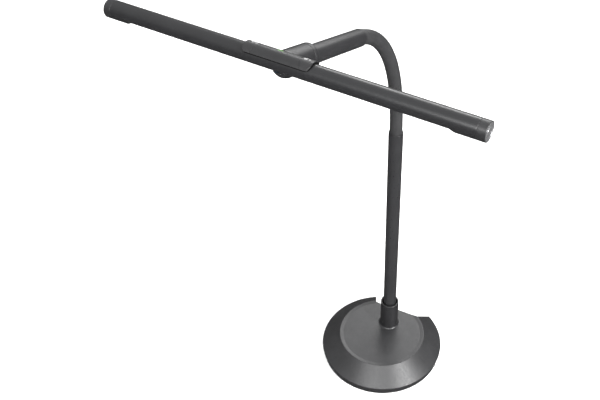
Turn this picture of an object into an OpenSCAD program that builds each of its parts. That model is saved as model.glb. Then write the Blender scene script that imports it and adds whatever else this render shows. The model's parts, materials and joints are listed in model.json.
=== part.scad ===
// Piano lamp: a long light bar on a bendable neck, a slim pole and a heavy round base.
// Millimetres. +Z is up, the light bar runs along X, and the lamp leans out over -Y.
// The origin is the middle of the base, on the surface that the lamp stands on.

/* [Base] */
// Largest radius of the base, at the sharp edge below its bevel
base_r = 100; // [94:1:112]
// How far the rim leans in from that edge to its foot
rim_lean = 2.5; // [0.5:0.5:5]
// Height of the sharp edge above the table
rim_h = 15; // [12:0.5:18]
// Radius of the lip around the top disc
lip_r = 70.5; // [67:0.5:76]
// Height of that lip above the table
base_h = 38.3; // [36:0.1:44]
// How far the top disc lies below its lip
dish = 0.6; // [0.3:0.1:1.5]
// Wall of the base casting
shell_wall = 4; // [3:0.25:5]
// Thickness of the casting under the top disc
shell_top = 5; // [4:0.25:6]
// Gap between the casting's lower edge and the table
floor_gap = 1.2; // [0.6:0.1:1.8]
// Thickness of the anti-slip pad
pad_t = 2; // [1.5:0.1:3]
// Thickness of the bottom plate
plate_t = 2.4; // [2:0.1:3]
// Radius of the iron ballast
ballast_r = 60; // [50:1:62]
// Height of the iron ballast
ballast_h = 16; // [10:0.5:18]

/* [Notch] */
// Width of the notch's back wall
notch_w = 78; // [60:1:84]
// Distance from the base's middle to that wall
notch_y = 57.5; // [55:0.5:62]
// Angle that each flank opens outwards
notch_flare = 23; // [5:1:30]
// Angle that the notch is turned about the pole, in the pose shown
base_turn = 4.8; // [-8:0.2:8]

/* [Pole] */
// Distance of the pole behind the base's middle
pole_y = 25.4; // [20:0.2:28]
// Outer diameter of the pole
pole_d = 20.8; // [19.6:0.1:22]
// Wall of the pole
pole_wall = 1.2; // [1:0.05:1.5]
// Wall left at the pole's open top rim
pole_rim_wall = 0.55; // [0.4:0.05:0.9]
// Height of the pole's top above the table
pole_top = 440; // [300:1:520]
// Diameter of the hollow threaded nipple that holds the pole down
nipple_d = 10; // [8:0.5:12]
// Bore through that nipple
nipple_bore = 6.4; // [5:0.1:7]

/* [Collar] */
// Outer diameter of the collar
collar_d = 29.4; // [27:0.2:34]
// Height of the collar above the top disc
collar_h = 54.4; // [40:0.2:80]
// Thickness of the collar's floor, which the pole stands on
collar_floor = 5.2; // [4:0.1:8]
// Depth of the wider mouth at the collar's top
collar_mouth = 12; // [6:1:20]
// Gap between the pole and the collar's mouth
collar_mouth_gap = 2.2; // [1.5:0.1:2.6]
// Radius of the flare where the collar meets the disc
collar_flare = 3.5; // [1.5:0.5:6]

/* [Power inlet] */
// Diameter of the inlet's threaded body
inlet_d = 11; // [9:0.5:12]
// Length of the inlet's body
inlet_l = 14; // [12:0.5:18]
// Diameter of the inlet's socket
inlet_bore = 6.4; // [5.5:0.1:7]
// Height of the inlet's axis above the table
inlet_z = 15; // [14:0.5:18]
// Diameter of the two-core lead inside the lamp
lead_d = 3.6; // [3:0.1:4.4]

/* [Neck] */
// Outer diameter of the neck
neck_d = 18; // [17.2:0.1:18.2]
// Diameter of the balls inside the neck
ball_d = 14; // [13:0.1:14.4]
// Distance from ball to ball
neck_pitch = 30.8; // [26:0.2:36]
// Height of the first ball above the pole's top
neck_rise = 12; // [10:0.5:16]
// Bend at the first ball in the pose shown
first_bend = 3; // [0:0.25:4]
// Bend that each further ball adds to the one before it
bend_growth = 1.75; // [0:0.05:2]
// Gap between the ends of two links
lip_gap = 4.4; // [4:0.1:6]
// Bore for the lead through the links and balls
lead_bore = 5; // [4.6:0.1:5.6]

/* [Arm] */
// Distance from the last ball to the foot of the light bar's axis
arm_len = 175; // [150:1:220]
// Outer diameter of the arm's sleeve
sleeve_d = 21.2; // [20.8:0.1:23]
// Wall of the sleeve
sleeve_wall = 1.4; // [1.2:0.05:1.6]
// Rounding of the sleeve's open end
sleeve_round = 1; // [0.5:0.1:1.1]
// Length of the neck's straight end that shows before the sleeve
neck_show = 9.8; // [2:0.2:14]
// Length of the plug that grips the neck's end
neck_plug_l = 30; // [26:1:40]
// Length of the plug that carries the pivot
pivot_plug_l = 24; // [14:1:34]

/* [Hub] */
// Outer diameter of the hub
hub_d = 28.8; // [27.6:0.2:32]
// Distance from the light bar's axis to the hub's end seam
hub_l = 46; // [42:1:60]
// Length of the rounded ring behind that seam
ring_l = 7.7; // [5:0.1:9]
// Rounding of that ring
ring_round = 1.6; // [1:0.1:3]
// Gap in the seams on each side of the ring
seam = 0.3; // [0.2:0.05:0.5]
// Height of the light bar's axis over the arm's axis
hub_rise = 3; // [2:0.1:4]
// Distance from the light bar's axis to the middle of the hub's domed end
dome_back = 11; // [9:0.5:13]
// Diameter of the hollow pivot
pivot_d = 10; // [8.4:0.2:10.4]
// Bore through the pivot
pivot_bore = 5.2; // [4.8:0.1:6]
// Wall of the pivot's bushes
bush_wall = 1.5; // [1:0.1:2]
// Length of each bush in the hub
bush_l = 10; // [6:0.5:12]

/* [Light bar] */
// Overall length of the light bar
bar_len = 447; // [360:1:600]
// Outer diameter of the light bar
bar_d = 20.8; // [20:0.1:21.6]
// Wall of the bar's tube
bar_wall = 1.4; // [1.2:0.05:1.6]
// Length of each end cap outside the tube
cap_l = 9; // [6:0.5:14]
// Rounding of the end caps
cap_round = 0.8; // [0.4:0.1:1]
// Length of the flat window under the bar
window_l = 378; // [300:1:390]
// Length of the ramp at each end of the window
window_ramp = 6; // [2:0.5:10]
// Distance of the window's flat below the bar's axis
flat_drop = 6; // [5.6:0.1:6.6]
// Thickness of the opal diffuser
diffuser_t = 2; // [1.6:0.1:2.2]
// How far the diffuser lies inside the flat
diffuser_inset = 0.2; // [0:0.05:0.4]
// Thickness of the circuit boards
board_t = 1.6; // [1:0.1:1.6]
// Number of light diodes
led_count = 36; // [12:2:48]
// Length of the disc set into each end cap, along the bar
end_disc_t = 0.9; // [0.6:0.1:1.2]
// Diameter of that disc
end_disc_d = 18.6; // [16:0.2:18.8]

/* [Control panel] */
// Length of the raised panel on the light bar
panel_l = 80; // [76:1:100]
// Radius of the panel's outer skin about the bar's axis
panel_r = 13; // [12.9:0.1:13.8]
// Thickness of the panel's fixed middle plate
panel_t = 1.6; // [1.6:0.1:1.8]
// Thickness of the keys' skin
key_t = 1; // [0.8:0.1:1]
// Half of the angle that the panel wraps round the bar
panel_wrap = 68.5; // [60:0.5:72]
// Radius of the panel's corners, seen from above
panel_corner = 5; // [3:0.5:8]
// Middle plate's half length at its front edge
seam_front = 29.5; // [27:0.5:31]
// Middle plate's half length at its back edge
seam_back = 14.5; // [10:0.5:18]
// Distance that a key travels
key_travel = 0.5; // [0.3:0.1:0.5]
// Distance of each key's stem from the panel's middle
key_x = 31; // [29:0.5:33]
// Diameter of a key's stem
stem_d = 3.2; // [2.4:0.1:3.6]
// Length of the green indicator lens
lens_l = 7; // [4:0.5:12]
// Width of the green indicator lens
lens_w = 2.6; // [1.6:0.1:4]
// Distance of the lens left of the panel's middle
lens_x = 0.5; // [0:0.5:6]

/* [Hidden] */
$fn = 96;

// Clearances: a push fit, a running fit, and air between pieces that move
fit = 0.05;
run = 0.06;
air = 0.3;
// Overshoot of every cut past the face that it opens
cut = 1;

// Base
shell_z = floor_gap;
disc_z = base_h - dish;
ceiling_z = disc_z - shell_top;
plate_z = pad_t;
plate_top = plate_z + plate_t;
plate_r = base_r - rim_lean - shell_wall - air;
pad_inset = 1;
pad_r = plate_r - pad_inset;
lip_w = 1;
dish_run = 5;
edge_round = 0.8;
notch_reach = 60;
screw_count = 4;
screw_turn = 45;
screw_d = 3;
screw_head_d = 6;
screw_head_h = 1.3;
screw_l = 9;
boss_d = 9;
boss_out = 8;
boss_r = lip_r + boss_out;

// Pole, collar and what holds them down
pole_in_d = pole_d - 2 * pole_wall;
pole_foot_z = disc_z + collar_floor;
pole_rim_d = pole_d - 2 * pole_rim_wall;
pole_rim_depth = 8;
pole_plug_l = 20;
collar_round = 0.6;
nipple_hole_d = nipple_d + 2 * fit;
washer_d = 22;
washer_t = 1.5;
nut_af_ratio = 1.6;
nut_h = 6;
nipple_tail = 1.3;
nipple_bottom = ceiling_z - washer_t - nut_h - nipple_tail;
pit_room = 7;
pit_d = washer_d + 2 * pit_room;

// Inlet and lead
inlet_flange_w = 1.5;
inlet_flange_d = inlet_d + 2 * inlet_flange_w;
inlet_flange_t = 1.5;
inlet_pin_d = 2;
inlet_floor = 3;
inlet_nut_h = 3;
inlet_back = notch_y - inlet_l;
lead_bend_r = 7;
socket_depth = 44;
lead_top = pole_top - socket_depth;
socket_grip = pole_top - pole_rim_depth - lead_top;

// Neck
neck_joints = 8;
stem_inset = 0.4;
cup_d = ball_d + 2 * air;
lip = lip_gap / 2;

// Arm, hub and pivot: distances from the light bar's axis towards the neck
sleeve_in_d = sleeve_d - 2 * sleeve_wall;
sleeve_mouth_lip = 0.1;
sleeve_mouth_d = sleeve_d - 2 * sleeve_round - 2 * sleeve_mouth_lip;
sleeve_mouth_depth = 6;
ring_start = hub_l + seam;
ring_end = ring_start + ring_l;
washer_fr_t = 0.8;
plug_start = ring_end + washer_fr_t;
sleeve_setback = 0.2;
sleeve_start = plug_start + sleeve_setback;
sleeve_end = arm_len - lip - neck_show;
neck_plug_end = arm_len - lip - neck_plug_l;
bush_d = pivot_d + 2 * run + 2 * bush_wall;
bush_flange_w = 2;
bush_flange_d = bush_d + 2 * bush_flange_w;
bush_flange_t = 1.2;
bulkhead_back = 16;
bulkhead = dome_back + bulkhead_back;
pivot_washer_t = 1.2;
pivot_nut_h = 5.5;
pivot_thread_tail = 1.5;
pivot_washer_z = bulkhead - bush_flange_t - pivot_washer_t;
pivot_nut_z = pivot_washer_z - pivot_nut_h;
pivot_start = pivot_nut_z - pivot_thread_tail;
cavity_d = bush_flange_d + 2 * air;
cavity_room = 3;
cavity_start = pivot_start - cavity_room;
spigot_l = 3;
spigot_step = 4.5;
spigot_d = hub_d - 2 * spigot_step;
hub_screw_x = 10.8;
hub_screw_drop = 1.6;
hub_screw_d = 2;
hub_screw_head_d = 3;
hub_screw_head_h = 1.6;
hub_screw_short = 7;
hub_screw_end = bulkhead - hub_screw_short;
wire_hole_d = 4.4;
wire_hole_rise = 3.35;

// Light bar
tube_len = bar_len - 2 * cap_l;
bar_in_d = bar_d - 2 * bar_wall;
web_t = 1.5;
web_setback = 9;
rail_z = 4;
rail_w = 1;
rail_top = 5.2;
board_w = 11.6;
led_board_short = 4;
led_board_l = window_l - 2 * led_board_short;
led_l = 2.8;
led_w = 3.5;
led_t = 0.9;
diffuser_y = -flat_drop + diffuser_inset;
diffuser_w = 2 * (sqrt(pow(bar_in_d / 2, 2) - pow(diffuser_y, 2)) - air);
plug_l = 6;
disc_groove_at = [0.9, 0.55];
disc_groove_w = 0.5;
disc_groove_depth = 0.25;

// Control panel
frame_r = bar_d / 2 + fit;
frame_skin_r = panel_r - panel_t - fit;
frame_inset = 3;
wrap_air = 2;
frame_wrap_short = 7;
frame_wrap = panel_wrap - frame_wrap_short;
board_reach = 3;
control_board_l = 2 * key_x + 2 * board_reach;
slot_reach = 4;
slot_l = 2 * key_x + 2 * slot_reach;
slot_w = 8;
switch_w = 5;
switch_h = 1.6;
plunger_d = 2.8;
plunger_h = 0.7;
key_play = 0.1;
stem_foot = rail_top + board_t + switch_h + plunger_h + key_travel + key_play;
lens_proud = 0.1;
seam_slope = (seam_front - seam_back) / (2 * panel_r * sin(panel_wrap));

// ---- where the pieces stand ----

// Lean of link k from the vertical, after the bend at ball k
function lean(k) = k * first_bend + bend_growth * k * (k - 1) / 2;
// Place of ball k
function ball_y(k) = k == 1 ? pole_y : ball_y(k - 1) - neck_pitch * sin(lean(k - 1));
function ball_z(k) = k == 1 ? pole_top + neck_rise : ball_z(k - 1) + neck_pitch * cos(lean(k - 1));

// Ball k at the origin, with +Z along the link that follows it
module at_ball(k) {
    translate([0, ball_y(k), ball_z(k)])
        rotate([lean(k), 0, 0])
            children();
}

// The arm's axis from the foot of the light bar's axis: +Z runs back to the neck
module hub_frame() {
    at_ball(neck_joints)
        translate([0, 0, arm_len])
            mirror([0, 0, 1])
                children();
}

// The light bar's axis: +X along the bar, +Y out of its top, +Z to its front
module bar_frame() {
    at_ball(neck_joints)
        translate([0, hub_rise, arm_len])
            children();
}

// A flat outline (up, forward) drawn out along the bar, evenly about its middle
module along_bar(len) {
    translate([-len / 2, 0, 0])
        rotate([90, 0, 90])
            linear_extrude(len)
                children();
}

// A plan outline (along the bar, forward) drawn out through the panel
module through_panel() {
    rotate([90, 0, 0])
        mirror([0, 0, 1])
            linear_extrude(panel_r + cut)
                children();
}

// Turns what it holds about the pole, as far as the base stands turned
module about_pole() {
    translate([0, pole_y, 0])
        rotate([0, 0, base_turn])
            translate([0, -pole_y, 0])
                children();
}

// ---- shapes used more than once ----

module ring(r_out, r_in, h) {
    difference() {
        cylinder(r = r_out, h = h);
        translate([0, 0, -cut])
            cylinder(r = r_in, h = h + 2 * cut);
    }
}

// Half outline of a turned piece with its outer top edge rounded
module rounded_half(r, h, round_r) {
    square([r - round_r, h]);
    square([r, h - round_r]);
    translate([r - round_r, h - round_r])
        circle(round_r);
}

// Wedge from the origin, centred on +X, that reaches past any panel skin
module wedge(low, high) {
    reach = 2 * panel_r;
    mid = (low + high) / 2;
    polygon([
        [0, 0],
        reach * [cos(low), sin(low)],
        reach * [cos((low + mid) / 2), sin((low + mid) / 2)],
        reach * [cos(mid), sin(mid)],
        reach * [cos((high + mid) / 2), sin((high + mid) / 2)],
        reach * [cos(high), sin(high)]
    ]);
}

// Part of a ring about the bar's axis, as a flat outline
module arc_band(r_out, r_in, low, high) {
    intersection() {
        difference() {
            circle(r_out);
            circle(r_in);
        }
        wedge(low, high);
    }
}

module rounded_rectangle(l, w, corner) {
    square([l - 2 * corner, w], center = true);
    square([l, w - 2 * corner], center = true);
    for (sx = [-1, 1], sy = [-1, 1])
        translate([sx * (l / 2 - corner), sy * (w / 2 - corner)])
            circle(corner);
}

module slot_outline(l, w) {
    square([l - w, w], center = true);
    for (s = [-1, 1])
        translate([s * (l - w) / 2, 0])
            circle(d = w);
}

// ---- base ----

// Notch in the back of the base, grown inwards by a margin
module notch(margin, low, high) {
    half = notch_w / 2 + margin / cos(notch_flare);
    back = notch_y - margin;
    flank = (notch_reach + margin) * tan(notch_flare);
    about_pole()
        translate([0, 0, low])
            linear_extrude(high - low)
                polygon([
                    [-half + margin * tan(notch_flare), back],
                    [half - margin * tan(notch_flare), back],
                    [half + flank, back + margin + notch_reach],
                    [-half - flank, back + margin + notch_reach]
                ]);
}

module base_outline() {
    polygon([
        [0, shell_z],
        [base_r - rim_lean, shell_z],
        [base_r, rim_h],
        [base_r - edge_round, rim_h + edge_round],
        [lip_r, base_h],
        [lip_r - lip_w, base_h],
        [lip_r - lip_w - dish_run, disc_z],
        [0, disc_z]
    ]);
}

module cavity_outline() {
    bevel_in = shell_wall * 1.2;
    polygon([
        [0, shell_z - cut],
        [base_r - rim_lean - shell_wall, shell_z - cut],
        [base_r - rim_lean - shell_wall, rim_h - shell_wall / 2],
        [lip_r - bevel_in, ceiling_z],
        [0, ceiling_z]
    ]);
}

module at_screws() {
    for (i = [0 : screw_count - 1])
        rotate([0, 0, screw_turn + i * 360 / screw_count])
            translate([boss_r, 0, 0])
                children();
}

module base_shell() {
    color("#2c2c2e")
        difference() {
            union() {
                difference() {
                    rotate_extrude() base_outline();
                    difference() {
                        rotate_extrude() cavity_outline();
                        notch(shell_wall, 0, base_h);
                    }
                }
                intersection() {
                    at_screws()
                        translate([0, 0, plate_top])
                            cylinder(d = boss_d, h = base_h);
                    rotate_extrude() base_outline();
                }
            }
            notch(0, -cut, base_h + cut);
            at_screws()
                translate([0, 0, plate_top - cut])
                    cylinder(d = screw_d, h = screw_l - plate_t + cut + fit);
            translate([0, pole_y, ceiling_z - cut])
                cylinder(d = nipple_hole_d, h = shell_top + 2 * cut);
            about_pole()
                translate([0, notch_y + cut, inlet_z])
                    rotate([90, 0, 0])
                        cylinder(d = inlet_d + 2 * fit, h = shell_wall + 2 * cut);
        }
}

module ballast() {
    color("#4a4744")
        translate([0, 0, plate_top])
            difference() {
                cylinder(r = ballast_r, h = ballast_h);
                translate([0, pole_y, -cut])
                    cylinder(d = pit_d, h = ballast_h + 2 * cut);
                about_pole()
                    translate([-washer_d / 2, pole_y, -cut])
                        cube([washer_d, ballast_r, ballast_h + 2 * cut]);
                notch(shell_wall + air, -cut, ballast_h + cut);
            }
}

module base_plate() {
    color("#6d6f72")
        difference() {
            translate([0, 0, plate_z])
                cylinder(r = plate_r, h = plate_t);
            notch(shell_wall + air, 0, base_h);
            at_screws() {
                cylinder(d = screw_d + 2 * fit, h = base_h);
                translate([0, 0, plate_z - cut])
                    cylinder(d = screw_head_d + 2 * fit, h = screw_head_h + cut);
            }
        }
}

module base_screws() {
    color("#b9bbbd")
        at_screws()
            translate([0, 0, plate_z]) {
                cylinder(d = screw_head_d, h = screw_head_h);
                cylinder(d = screw_d, h = screw_l);
            }
}

module foot_pad() {
    color("#1d1d1e")
        difference() {
            cylinder(r = pad_r, h = pad_t);
            notch(shell_wall + air + pad_inset, -cut, pad_t + cut);
        }
}

// ---- pole ----

module collar() {
    r = collar_d / 2;
    color("#2a2a2c")
        translate([0, pole_y, disc_z])
            difference() {
                rotate_extrude() {
                    difference() {
                        square([r + collar_flare, collar_flare]);
                        translate([r + collar_flare, collar_flare])
                            circle(collar_flare);
                    }
                    rounded_half(r, collar_h, collar_round);
                }
                translate([0, 0, -cut])
                    cylinder(d = nipple_hole_d, h = collar_floor + 2 * cut);
                translate([0, 0, collar_floor])
                    cylinder(d = pole_d + 2 * fit, h = collar_h);
                translate([0, 0, collar_h - collar_mouth])
                    cylinder(d = pole_d + 2 * collar_mouth_gap, h = collar_mouth + cut);
            }
}

module pole() {
    color("#333335")
        translate([0, pole_y, pole_foot_z])
            difference() {
                cylinder(d = pole_d, h = pole_top - pole_foot_z);
                translate([0, 0, -cut])
                    cylinder(d = pole_in_d, h = pole_top + cut);
                translate([0, 0, pole_top - pole_foot_z - pole_rim_depth])
                    cylinder(d = pole_rim_d, h = pole_rim_depth + cut);
            }
}

module pole_plug() {
    color("#a9abad")
        translate([0, pole_y, pole_foot_z])
            ring(pole_in_d / 2 - fit, nipple_d / 2 + fit, pole_plug_l);
}

module pole_nipple() {
    color("#c2b280")
        translate([0, pole_y, nipple_bottom])
            ring(nipple_d / 2, nipple_bore / 2, pole_foot_z + pole_plug_l - nipple_bottom);
}

module nipple_nut() {
    color("#b9bbbd")
        translate([0, pole_y, ceiling_z - washer_t - nut_h])
            difference() {
                cylinder(d = nipple_d * nut_af_ratio, h = nut_h, $fn = 6);
                translate([0, 0, -cut])
                    cylinder(d = nipple_hole_d, h = nut_h + 2 * cut);
            }
}

module nipple_washer() {
    color("#9fa1a3")
        translate([0, pole_y, ceiling_z - washer_t])
            ring(washer_d / 2, nipple_hole_d / 2, washer_t);
}

// ---- power inlet and lead ----

module at_inlet() {
    about_pole()
        translate([0, notch_y, inlet_z])
            rotate([90, 0, 0])
                children();
}

module power_inlet() {
    color("#19191a")
        at_inlet() {
            difference() {
                union() {
                    cylinder(d = inlet_d, h = inlet_l);
                    translate([0, 0, -inlet_flange_t])
                        cylinder(d = inlet_flange_d, h = inlet_flange_t);
                }
                translate([0, 0, -inlet_flange_t - cut])
                    cylinder(d = inlet_bore, h = inlet_l - inlet_floor + inlet_flange_t + cut);
            }
            cylinder(d = inlet_pin_d, h = inlet_l - inlet_floor + fit);
        }
}

module inlet_nut() {
    color("#b9bbbd")
        at_inlet()
            translate([0, 0, shell_wall])
                difference() {
                    cylinder(d = inlet_d * 1.4, h = inlet_nut_h, $fn = 6);
                    translate([0, 0, -cut])
                        cylinder(d = inlet_d + 2 * fit, h = inlet_nut_h + 2 * cut);
                }
}

// Lead from the inlet, round a bend and straight up through the nipple and the pole
module supply_lead() {
    bend_start = pole_y + lead_bend_r;
    color("#151516")
        about_pole() {
            translate([0, bend_start, inlet_z])
                rotate([-90, 0, 0])
                    cylinder(d = lead_d, h = inlet_back - bend_start);
            translate([0, bend_start, inlet_z + lead_bend_r])
                rotate([0, 90, 0])
                    rotate([0, 0, 180])
                        mirror([1, 0, 0])
                            rotate_extrude(angle = 90)
                                translate([lead_bend_r, 0])
                                    circle(d = lead_d);
            translate([0, pole_y, inlet_z + lead_bend_r])
                cylinder(d = lead_d, h = lead_top - inlet_z - lead_bend_r);
        }
}

// ---- neck ----

module neck_socket() {
    color("#202021")
        translate([0, pole_y, lead_top])
            difference() {
                union() {
                    cylinder(r = pole_in_d / 2 - fit, h = socket_grip);
                    cylinder(r = neck_d / 2 - stem_inset, h = ball_z(1) - lip - lead_top);
                }
                translate([0, 0, -cut])
                    cylinder(d = lead_bore, h = ball_z(1) - lead_top);
                translate([0, 0, ball_z(1) - lead_top])
                    sphere(d = cup_d);
            }
}

// Ball k, with its bore along the middle of the bend
module neck_ball(k) {
    color("#8d8f91")
        translate([0, ball_y(k), ball_z(k)])
            rotate([(lean(k - 1) + lean(k)) / 2, 0, 0])
                difference() {
                    sphere(d = ball_d);
                    cylinder(d = lead_bore, h = ball_d + cut, center = true);
                }
}

// Link k: a sleeve with a cup at each end, between ball k and ball k + 1
module neck_link(k) {
    color("#232324")
        at_ball(k)
            difference() {
                translate([0, 0, lip])
                    cylinder(d = neck_d, h = neck_pitch - lip_gap);
                cylinder(d = lead_bore, h = neck_pitch);
                sphere(d = cup_d);
                translate([0, 0, neck_pitch])
                    sphere(d = cup_d);
            }
}

// ---- arm ----

module neck_plug() {
    color("#202021")
        at_ball(neck_joints)
            difference() {
                union() {
                    translate([0, 0, lip])
                        cylinder(r = neck_d / 2 - stem_inset, h = neck_plug_l);
                    translate([0, 0, lip + neck_show + sleeve_mouth_depth])
                        cylinder(
                            r = sleeve_in_d / 2 - fit,
                            h = neck_plug_l - neck_show - sleeve_mouth_depth
                        );
                }
                sphere(d = cup_d);
                cylinder(d = lead_bore, h = neck_plug_l + lip + cut);
            }
}

module arm_sleeve() {
    len = sleeve_end - sleeve_start;
    color("#2b2b2d")
        hub_frame()
            translate([0, 0, sleeve_start])
                difference() {
                    rotate_extrude() rounded_half(sleeve_d / 2, len, sleeve_round);
                    translate([0, 0, -cut])
                        cylinder(d = sleeve_in_d, h = len + 2 * cut);
                    translate([0, 0, len - sleeve_mouth_depth])
                        cylinder(d = sleeve_mouth_d, h = sleeve_mouth_depth + cut);
                }
}

module sleeve_plug() {
    color("#8d8f91")
        hub_frame()
            translate([0, 0, plug_start])
                ring(sleeve_in_d / 2 - fit, pivot_d / 2 + fit, pivot_plug_l);
}

module pivot_tube() {
    color("#b9bbbd")
        hub_frame()
            translate([0, 0, pivot_start])
                ring(pivot_d / 2, pivot_bore / 2, plug_start + pivot_plug_l - pivot_start);
}

module pivot_nut() {
    color("#b9bbbd")
        hub_frame()
            translate([0, 0, pivot_nut_z])
                difference() {
                    cylinder(d = bush_flange_d, h = pivot_nut_h, $fn = 6);
                    translate([0, 0, -cut])
                        cylinder(d = pivot_d + 2 * fit, h = pivot_nut_h + 2 * cut);
                }
}

module pivot_washer() {
    color("#9fa1a3")
        hub_frame()
            translate([0, 0, pivot_washer_z])
                ring(bush_flange_d / 2, pivot_d / 2 + fit, pivot_washer_t);
}

module friction_washer() {
    color("#c9c4b4")
        hub_frame()
            translate([0, 0, ring_end])
                ring(sleeve_in_d / 2, pivot_d / 2 + fit, washer_fr_t);
}

module arm_lead() {
    color("#151516")
        hub_frame()
            translate([0, 0, pivot_start])
                cylinder(d = lead_d, h = neck_plug_end - pivot_start);
}

// ---- hub ----

module hub_outline() {
    intersection() {
        union() {
            translate([0, dome_back])
                circle(d = hub_d);
            translate([0, dome_back])
                square([hub_d / 2, hub_l - dome_back]);
        }
        square([hub_d / 2, hub_l]);
    }
}

// Round space that the light bar fills, on the hub's own axes
module bar_space(r, len) {
    translate([0, hub_rise, 0])
        mirror([0, 0, 1])
            along_bar(len)
                circle(r);
}

module hub_body() {
    color("#2b2b2d")
        hub_frame()
            difference() {
                rotate_extrude() hub_outline();
                bar_space(bar_d / 2 + fit, bar_len);
                translate([0, hub_rise, 0])
                    mirror([0, 0, 1])
                        along_bar(panel_l + 2 * air)
                            arc_band(panel_r + air, fit, -panel_wrap - wrap_air, panel_wrap + wrap_air);
                translate([0, 0, cavity_start])
                    cylinder(d = cavity_d, h = bulkhead - cavity_start);
                cylinder(d = bush_d + 2 * fit, h = hub_l + cut);
                translate([0, 0, hub_l - spigot_l - air])
                    cylinder(d = spigot_d + 2 * fit, h = spigot_l + air + cut);
                at_hub_screws()
                    cylinder(d = hub_screw_d + 2 * fit, h = hub_screw_end + air);
                translate([0, hub_rise + wire_hole_rise, 0])
                    cylinder(d = wire_hole_d, h = cavity_start + cut);
            }
}

module at_hub_screws() {
    for (sx = [-1, 1])
        translate([sx * hub_screw_x, hub_rise - hub_screw_drop, 0])
            children();
}

module hub_ring() {
    color("#303032")
        hub_frame()
            difference() {
                union() {
                    translate([0, 0, ring_start])
                        rotate_extrude() rounded_half(hub_d / 2, ring_l, ring_round);
                    translate([0, 0, hub_l - spigot_l])
                        cylinder(d = spigot_d, h = spigot_l + seam);
                }
                translate([0, 0, hub_l - spigot_l - cut])
                    cylinder(d = bush_d + 2 * fit, h = ring_l + spigot_l + seam + 2 * cut);
                translate([0, 0, ring_end - bush_flange_t])
                    cylinder(d = bush_flange_d + 2 * fit, h = bush_flange_t + cut);
            }
}

module hub_bush_front() {
    color("#c9c4b4")
        hub_frame() {
            translate([0, 0, bulkhead])
                ring(bush_d / 2, pivot_d / 2 + run, bush_l);
            translate([0, 0, bulkhead - bush_flange_t])
                ring(bush_flange_d / 2, pivot_d / 2 + run, bush_flange_t);
        }
}

module hub_bush_rear() {
    color("#c9c4b4")
        hub_frame() {
            translate([0, 0, ring_end - bush_flange_t - bush_l])
                ring(bush_d / 2, pivot_d / 2 + run, bush_l);
            translate([0, 0, ring_end - bush_flange_t])
                ring(bush_flange_d / 2, pivot_d / 2 + run, bush_flange_t);
        }
}

// The two screws' heads bear on the inside of the tube's back wall
module hub_screws() {
    head_end = sqrt(pow(bar_in_d / 2, 2) - pow(hub_screw_drop + hub_screw_head_d / 2, 2));
    color("#b9bbbd")
        hub_frame()
            at_hub_screws() {
                translate([0, 0, head_end - hub_screw_head_h])
                    cylinder(d = hub_screw_head_d, h = hub_screw_head_h);
                translate([0, 0, head_end - hub_screw_head_h])
                    cylinder(d = hub_screw_d, h = hub_screw_end - head_end + hub_screw_head_h);
            }
}

// ---- light bar ----

// Round tube without its web
module tube_outline() {
    difference() {
        circle(d = bar_d);
        circle(d = bar_in_d);
    }
}

// Web for the light strip, and rails for the control board
module web_outline() {
    intersection() {
        circle(d = bar_in_d + bar_wall);
        union() {
            translate([0, -bar_d / 2])
                square([web_t, bar_d]);
            for (s = [-1, 1])
                translate([0, s * (rail_z + rail_w / 2) - rail_w / 2])
                    square([rail_top, rail_w]);
        }
    }
}

// Lower side of the window: flat, with a ramp at each end
module window_cut() {
    depth = bar_d;
    run_out = window_ramp * depth / (bar_d / 2 - flat_drop);
    translate([0, 0, -bar_d])
        linear_extrude(2 * bar_d)
            polygon([
                [-window_l / 2, -flat_drop],
                [window_l / 2, -flat_drop],
                [window_l / 2 + run_out, -flat_drop - depth],
                [-window_l / 2 - run_out, -flat_drop - depth]
            ]);
}

module bar_tube() {
    color("#2a2a2c")
        bar_frame()
            difference() {
                union() {
                    along_bar(tube_len) tube_outline();
                    along_bar(tube_len - 2 * web_setback) web_outline();
                }
                window_cut();
                translate([-slot_l / 2, rail_top, -slot_w / 2])
                    cube([slot_l, bar_d, slot_w]);
                for (sx = [-1, 1])
                    translate([sx * hub_screw_x, -hub_screw_drop, -bar_d])
                        cylinder(d = hub_screw_d + 2 * fit, h = bar_d - rail_z - rail_w);
                translate([0, wire_hole_rise, -bar_d])
                    cylinder(d = wire_hole_d, h = bar_d - rail_z - rail_w);
            }
}

module led_board() {
    color("#e8e8e4")
        bar_frame()
            translate([-led_board_l / 2, -board_t, -board_w / 2])
                cube([led_board_l, board_t, board_w]);
}

module leds() {
    step = led_board_l / led_count;
    color("#f4e9b0")
        bar_frame()
            for (i = [0 : led_count - 1])
                translate([(i + 0.5) * step - led_board_l / 2 - led_l / 2, -board_t - led_t, -led_w / 2])
                    cube([led_l, led_t, led_w]);
}

module diffuser() {
    color("#f2f2ee")
        bar_frame()
            translate([-window_l / 2 + air, diffuser_y, -diffuser_w / 2])
                cube([window_l - 2 * air, diffuser_t, diffuser_w]);
}

// Right-hand end cap, standing on the tube's end with +Z out of the bar
module end_cap() {
    plug_r = bar_in_d / 2 - fit;
    difference() {
        union() {
            rotate_extrude() rounded_half(bar_d / 2, cap_l, cap_round);
            translate([0, 0, -plug_l])
                cylinder(r = plug_r, h = plug_l + fit);
        }
        translate([0, 0, -plug_l - cut])
            cylinder(r = plug_r - bar_wall, h = plug_l + cut);
        translate([0, 0, cap_l - end_disc_t])
            cylinder(d = end_disc_d + 2 * fit, h = end_disc_t + cut);
    }
}

// Disc with two turned grooves, set into the cap
module end_disc() {
    difference() {
        translate([0, 0, cap_l - end_disc_t])
            cylinder(d = end_disc_d, h = end_disc_t);
        for (share = disc_groove_at)
            translate([0, 0, cap_l - disc_groove_depth])
                ring(
                    share * end_disc_d / 2,
                    share * end_disc_d / 2 - disc_groove_w,
                    disc_groove_depth + cut
                );
    }
}

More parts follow.
